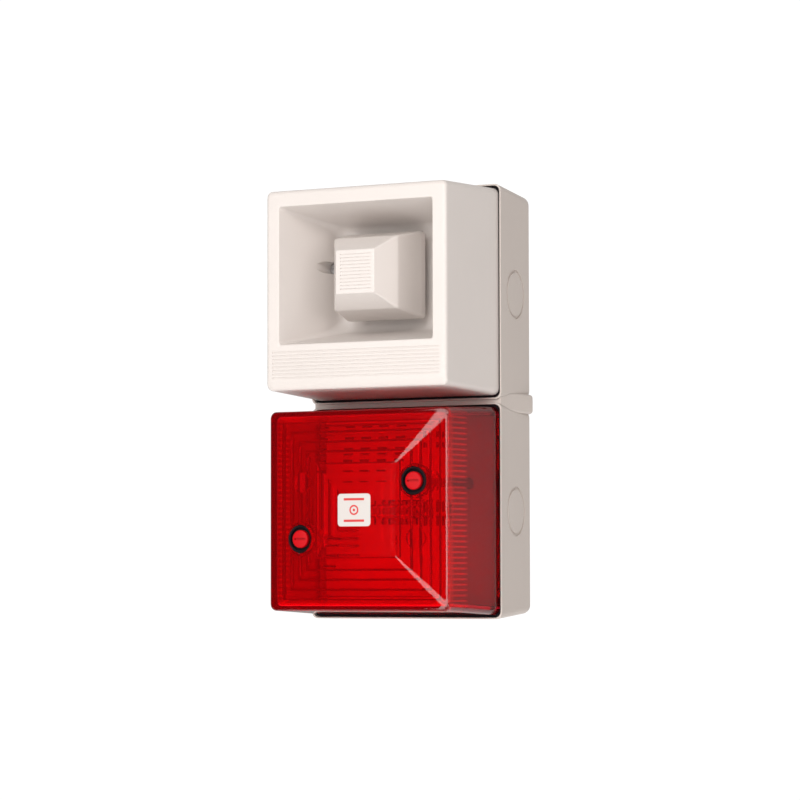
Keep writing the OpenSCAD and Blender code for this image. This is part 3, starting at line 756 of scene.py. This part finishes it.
LENS_RIM = 79.7                 # where the border meets the slopes of the front
FLAT_HALF = 20.0                # half width of the flat square in the middle
SLOPE = 0.16                    # how steeply the inner face falls away from the flat square
LENS_SKIN = 3.0                 # thickness of the front
PRISM_PITCH = 2.3               # spacing of the square prisms inside
SIDE_WALL = 2.5                 # thickness of the four sides
SIDE_DRAFT = 1.9                # how much the left and right lean in at the rim
END_DRAFT = 2.1                 # and the top and bottom


def lens_section(out, half, half_up, radius):
    return head_section(out, half, half_up, LENS_MID, radius)


def lens_inner(size):
    """Distance from the wall of the inner face on the square of this half width."""
    return LENS["front"] - LENS_SKIN - SLOPE * max(0.0, size - FLAT_HALF)


def lens_share(out):
    """How much of the draft of the four sides is used up at this distance."""
    return (out - SKIRT) / (LENS_RIM - SKIRT)


def lens_path():
    """Sections of the lens from the middle of its inner face, round the skirt, to its front."""
    half, half_up = LENS["half"], (LENS["high"] - LENS["low"]) / 2
    front, front_up = half - SIDE_DRAFT, half_up - END_DRAFT
    path = [lens_section(lens_inner(0), 1.5, 1.5, 0.3)]
    for n in range(1, 17):
        size = 1.5 + PRISM_PITCH * n
        ridge = size - PRISM_PITCH / 2
        path.append(lens_section(lens_inner(ridge) - (0.1 if n % 2 else 0.3), ridge, ridge, 0.4))
        path.append(lens_section(lens_inner(size), size, size, 0.5))
    path.append(lens_section(LENS_RIM - 3.4, front - 3.0, front_up - 3.0, 1.2))
    shoulder = LENS_RIM - 4.2
    share = lens_share(shoulder)
    path.append(lens_section(shoulder, half - SIDE_WALL - SIDE_DRAFT * share,
                             half_up - SIDE_WALL - END_DRAFT * share, 1.6))
    return path + soften([
        (lens_section(SKIRT, half - SIDE_WALL, half_up - SIDE_WALL, 1.6), 0),
        (lens_section(SKIRT, half, half_up, 3), 0.25),
        (lens_section(LENS_RIM, front, front_up, 2.8), 0.8),
        (lens_section(LENS_RIM + 0.1, front - 1.4, front_up - 1.4, 4.2), 0.4),
        (lens_section(LENS["front"], FLAT_HALF, FLAT_HALF, 0.5), 0),
        (lens_section(LENS["front"], 3, 3, 0.4), 0)], 5)


def crisp_flat(piece):
    """Marks the outline of the flat square, so that it and the slopes shade flat."""
    points = piece.data.vertices
    for edge in piece.data.edges:
        ends = [points[i].co / MM for i in edge.vertices]
        if all(abs(-e.y - LENS["front"]) < 0.02 and
               abs(max(abs(e.x), abs(e.z - LENS_MID)) - FLAT_HALF) < 0.3 for e in ends):
            edge.use_edge_sharp = True


def make_lens(material):
    piece = loft("beacon_lens_visual", lens_path(), 12)
    posts, cuts = [], []
    post_rear, post_front = 70.0, 80.4
    well_post = [(0, post_rear), (6, post_rear), (6, 76), (7.4, 77), (7.4, post_front), (0, post_front)]
    for s in LENS_SCREWS:
        posts.append(turned("tool", well_post, s["x"], s["up"]))
        posts.append(rod(-s["x"], s["up"], 4.3, 77.1, post_front, 64))
        cuts.append(rod(s["x"], s["up"], 6.2, SEALS["rear"], 90))
        cuts.append(rod(s["x"], s["up"], 1.98, 20, 90))
        cuts.append(rod(s["x"], s["up"], 4.25, 20, SEALS["rear"] - 2.4))
    carve(piece, posts, "UNION")
    carve(piece, cuts)
    finish_mesh(piece, material, 25)
    crisp_flat(piece)
    place(piece, "beacon_lens_visual", "lens", "lens_red", "beacon_lens")


def bar_front(size):
    """Front of the bars on the square of this half width, a little behind the inner face."""
    return lens_inner(size) - 1.0


def lens_bar(x, up, half, half_up, size, depth=0.9):
    """Bar behind the square of this half width; x and up count from the middle of the lens."""
    front = bar_front(size)
    return block(x - half, x + half, LENS_MID + up - half_up, LENS_MID + up + half_up, front - depth, front)


def lens_ridge(size, thick):
    """Square ring of dark bar behind the deeper prisms, painted shade for their dark line."""
    ring = lens_bar(0, 0, size + thick, size + thick, size, 0.8)
    front, small = bar_front(size), size - thick
    carve(ring, [block(-small, small, LENS_MID - small, LENS_MID + small, front - 2, front + 1)])
    return ring


def upper_dashes():
    """Rows across the upper part; a higher row is longer."""
    rows = ((35.8, 0.4), (30.8, 0.55), (26.1, 0.6), (23.8, 0.35), (21.1, 0.5), (16.8, 0.4), (12.2, 0.25))
    return [lens_bar(x, up, 2.1, thick, max(up, abs(x))) for up, thick in rows
            for x in (-18.2, -5, 3.1, 11.4, 19.9)
            if max(abs(x), 13) < up + 6 and not (up < 20 and x > 15)]


def right_dashes():
    """Columns of upright dashes down the right part."""
    return [lens_bar(x, (low + high) / 2, thick, (high - low) / 2, x)
            for x, thick in ((31.4, 0.5), (37.1, 0.55), (39.6, 0.4))
            for low, high in ((-1.2, 3.2), (-7.0, -2.8), (30.5, 33.0), (26.2, 28.4))]


def lower_dashes():
    """Short dashes at the lower left of the flat square."""
    return [lens_bar(x, up, 3, 0.4, max(-up, -x))
            for up, x in ((-12.3, -11.8), (-15.1, -12.7), (-19.3, -12.7), (-23.8, -14.5))]


def make_lens_shade_lines(ridge_shade_material, dash_shade_material):
    """Dark ridges and dashes just behind the lens's inner face, which show through it as painted shade for
    the dark lines that the lens shows.
    """
    ridges = [lens_ridge(size, thick) for size, thick
              in ((20.3, 0.2), (25.4, 0.5), (29.6, 0.5), (33.9, 0.5), (38.2, 0.5))]
    dashes = upper_dashes() + right_dashes() + lower_dashes()
    for name, bars, material in (("lens_ridge_shade", ridges, ridge_shade_material),
                                 ("lens_dash_shade", dashes, dash_shade_material)):
        piece = join(bars)
        finish_mesh(piece, material)
        place(piece, name, "lens", "lens_red")


def make_lens_screws(material, seal_material):
    low, high = SEALS["rear"], SEALS["front"]
    seat = low + 1.55
    cup = [(2.0, low), (5.9, low), (6.1, low + 0.2), (6.1, high - 0.25), (5.9, high), (5.3, high),
           (5.1, high - 0.25), (5.1, low + 1.5), (2.0, low + 1.5), (2.0, low)]
    for s, name in zip(LENS_SCREWS, ("lens_screw_upper", "lens_screw_lower")):
        x, up, rear, front = s["x"], s["up"], s["rear"], s["front"]
        shank = [(0, rear), (1.6, rear), (1.9, rear + 0.4), (1.9, seat)]
        head = [(3.7, seat), (3.9, seat + 0.2), (3.9, front - 0.5), (3.6, front - 0.1),
                (3.2, front), (0, front)]
        piece = turned(name, shank + head, x, up)
        carve(piece, [block(x - 2.7, x + 2.7, up - 0.45, up + 0.45, front - 0.9, front + 1)])
        finish_mesh(piece, material)
        place(piece, name + "_visual", name, "lens_red", name)
    piece = join([turned("tool", cup, s["x"], s["up"]) for s in LENS_SCREWS])
    finish_mesh(piece, seal_material)
    place(piece, "lens_screw_seals_visual", "lens", "seal_rubber", "lens_screw_seals")


def make_label(material, mark_material):
    """Plain label with two bars and a ring with a dot, which stand for no sign."""
    half, half_up = LABEL["half"], (LABEL["high"] - LABEL["low"]) / 2
    rear, face = LABEL["rear"], LABEL["front"] - 0.04
    piece = loft("lens_label_visual", soften([
        (lens_section(rear, half - 3, half_up - 3, 0.6), 0), (lens_section(rear, half, half_up, 1.5), 0.05),
        (lens_section(face, half, half_up, 1.5), 0.08), (lens_section(face, half - 3, half_up - 3, 0.6), 0)]))
    finish_mesh(piece, material)
    place(piece, "lens_label_visual", "lens", "label_white", "lens_label")
    low, high = LABEL["front"] - 0.06, LABEL["front"] - 0.01
    ring = [(1.5, low), (2.2, low), (2.2, high), (1.5, high), (1.5, low)]
    marks = [turned("tool", ring, 0, LENS_MID, 48)]
    for sign in (-1, 1):
        line = LENS_MID + sign * 4.6
        marks.append(block(-5, 5, line - 0.5, line + 0.5, low, high))
    marks.append(rod(0, LENS_MID, 0.6, low, high, 24))
    piece = join(marks)
    finish_mesh(piece, mark_material)
    place(piece, "lens_label_marks", "lens", "switch_red")


# ---------- sounder screws ----------

def make_sounder_screws(material):
    for s, name in zip(SOUNDER_SCREWS, ("sounder_screw_left", "sounder_screw_right")):
        x, up, rear, front = s["x"], s["up"], s["rear"], s["front"]
        seat = front - 3
        shank = [(0, rear), (1.5, rear), (1.9, rear + 0.5), (1.9, seat)]
        head = [(2.5, seat), (2.6, seat + 0.15), (2.6, front - 0.4), (2.3, front), (0, front)]
        piece = turned(name, shank + head, x, up)
        carve(piece, [block(x - 4, x + 4, up - 0.5, up + 0.5, front - 0.9, front + 1)])
        finish_mesh(piece, material)
        place(piece, name + "_visual", name, "stainless_steel", name)


# ---------- everything ----------

def dress_nodes(materials):
    """Gives each node its own material."""
    slots = {part["node"]: part["material_slot"] for part in frame["record"]["subparts"]}
    for name, node in frame["nodes"].items():
        node.data.materials.clear()
        node.data.materials.append(materials[slots[name]])


make_camera()
make_stage()
MATERIALS = make_materials()
dress_nodes(MATERIALS)
make_back_box("upper_back_box", False, MATERIALS["box_plastic"])
make_back_box("lower_back_box", True, MATERIALS["box_plastic"])
make_collar(MATERIALS["box_plastic"])
make_housing(MATERIALS["sounder_plastic"])
make_bell(MATERIALS["sounder_plastic"])
make_sounder_screws(MATERIALS["stainless_steel"])
make_lens(MATERIALS["lens_red"])
make_lens_shade_lines(MATERIALS["ridge_shade_red"], MATERIALS["dash_shade_red"])
make_lens_screws(MATERIALS["screw_red"], MATERIALS["seal_rubber"])
make_label(MATERIALS["label_white"], MATERIALS["label_mark"])
